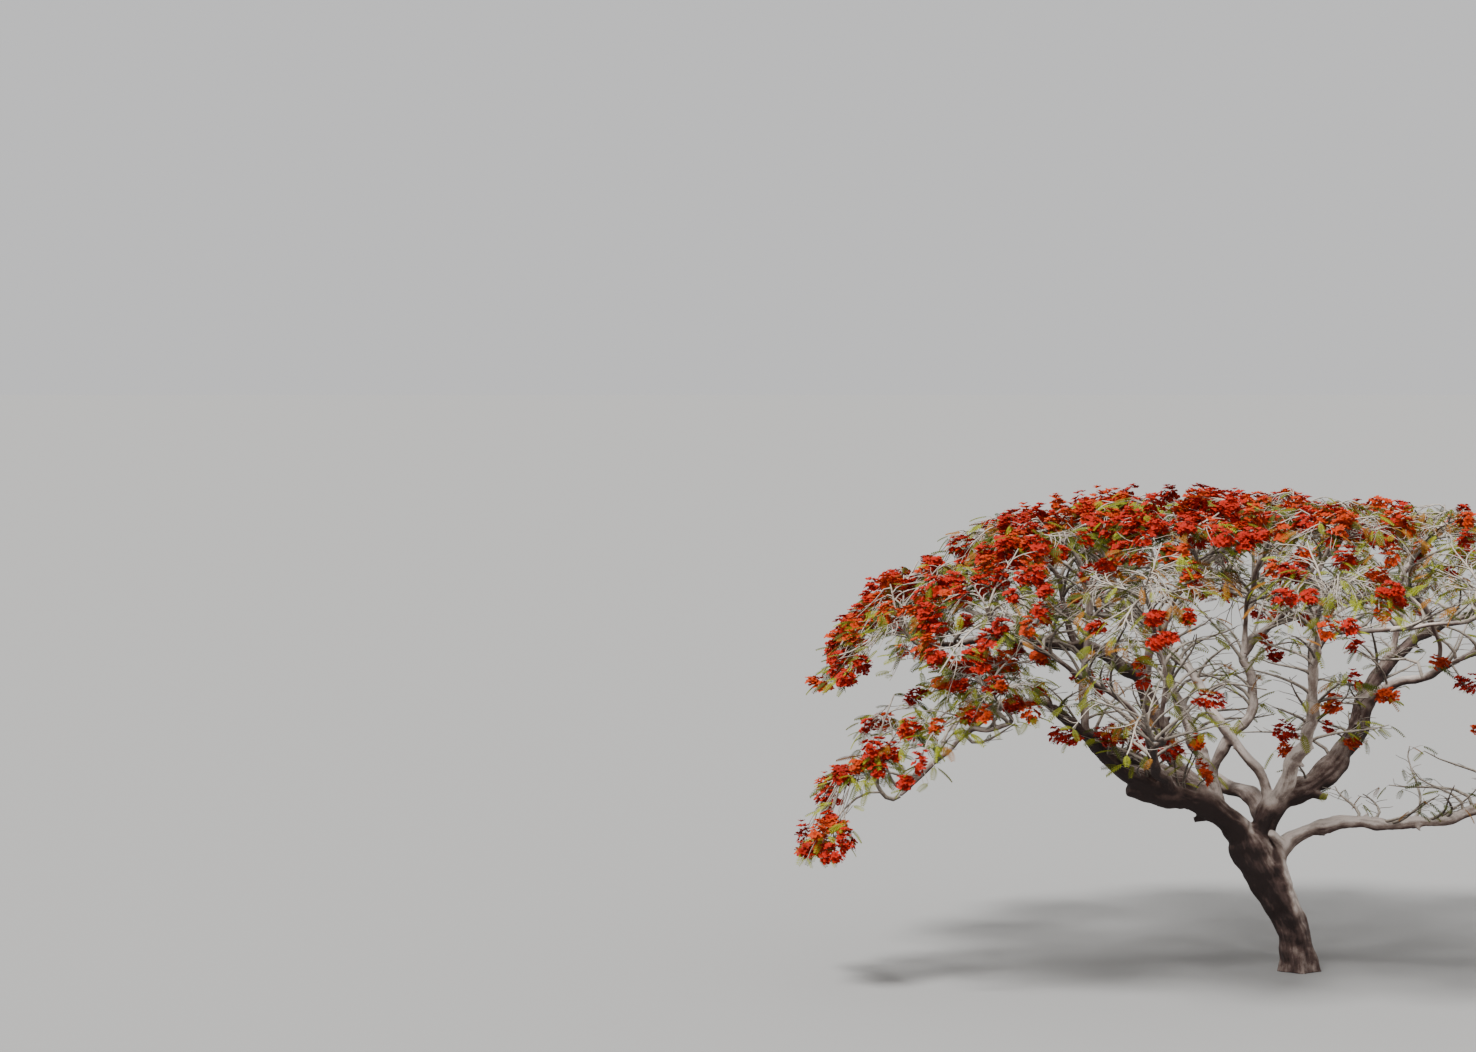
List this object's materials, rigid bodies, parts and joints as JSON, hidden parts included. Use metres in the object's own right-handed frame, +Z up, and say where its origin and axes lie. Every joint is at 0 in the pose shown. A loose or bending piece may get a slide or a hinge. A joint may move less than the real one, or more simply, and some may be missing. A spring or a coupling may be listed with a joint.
{
  "type": "flame tree",
  "caption": "Flame tree (Delonix regia) in flower: a leaning trunk, sinuous spreading boughs and a flat parasol crown of scarlet blossom and young leaf.",
  "frame": {"origin": "the middle of the trunk's flat cut at ground level", "axes": "+Z up the trunk from the ground, +X to the right and +Y away from the side that the picture shows"},
  "size_m": [11.6377, 9.7202, 6.454],
  "materials": {
    "bark": "rough grey-brown bark, paler on the limbs",
    "leaf_sprays": "soft matt feathery leaf, young yellow-green",
    "blossom_sprays": "soft matt scarlet and orange-red petals"
  },
  "bodies": {
    "root": {"trunk": "bark", "bough_left_low": "bark", "bough_left_droop": "bark", "bough_right": "bark", "bough_right_low": "bark", "bough_back": "bark", "bough_left_high": "bark", "bough_front_right": "bark", "bough_centre_left": "bark", "bough_centre": "bark", "bough_right_front": "bark", "bough_front_left": "bark", "bough_inner_1": "bark", "bough_inner_2": "bark", "bough_inner_3": "bark", "bough_middle_1": "bark", "bough_middle_2": "bark", "bough_middle_3": "bark", "bough_middle_4": "bark", "bough_middle_5": "bark", "bough_middle_6": "bark", "bough_middle_7": "bark", "bough_middle_8": "bark", "bough_middle_9": "bark", "bough_outer_1": "bark", "bough_outer_4": "bark", "bough_outer_7": "bark", "bough_outer_9": "bark", "bough_outer_10": "bark", "bough_outer_12": "bark", "bough_skirt_low": "bark", "crown_inner_1": "blossom_sprays", "crown_inner_2": "blossom_sprays", "crown_inner_3": "blossom_sprays", "crown_middle_1": "blossom_sprays", "crown_middle_2": "leaf_sprays", "crown_middle_3": "blossom_sprays", "crown_middle_4": "blossom_sprays", "crown_middle_5": "leaf_sprays", "crown_middle_6": "blossom_sprays", "crown_middle_7": "blossom_sprays", "crown_middle_8": "blossom_sprays", "crown_middle_9": "leaf_sprays", "crown_outer_1": "blossom_sprays", "crown_outer_2": "leaf_sprays", "crown_outer_3": "leaf_sprays", "crown_outer_4": "leaf_sprays", "crown_outer_5": "blossom_sprays", "crown_outer_6": "blossom_sprays", "crown_outer_7": "blossom_sprays", "crown_outer_8": "leaf_sprays", "crown_outer_9": "blossom_sprays", "crown_outer_10": "blossom_sprays", "crown_outer_11": "blossom_sprays", "crown_outer_12": "leaf_sprays", "crown_outer_13": "blossom_sprays", "crown_skirt_left": "blossom_sprays", "crown_skirt_low": "blossom_sprays", "crown_skirt_front": "leaf_sprays", "crown_skirt_right": "leaf_sprays"}
  },
  "joints": []
}
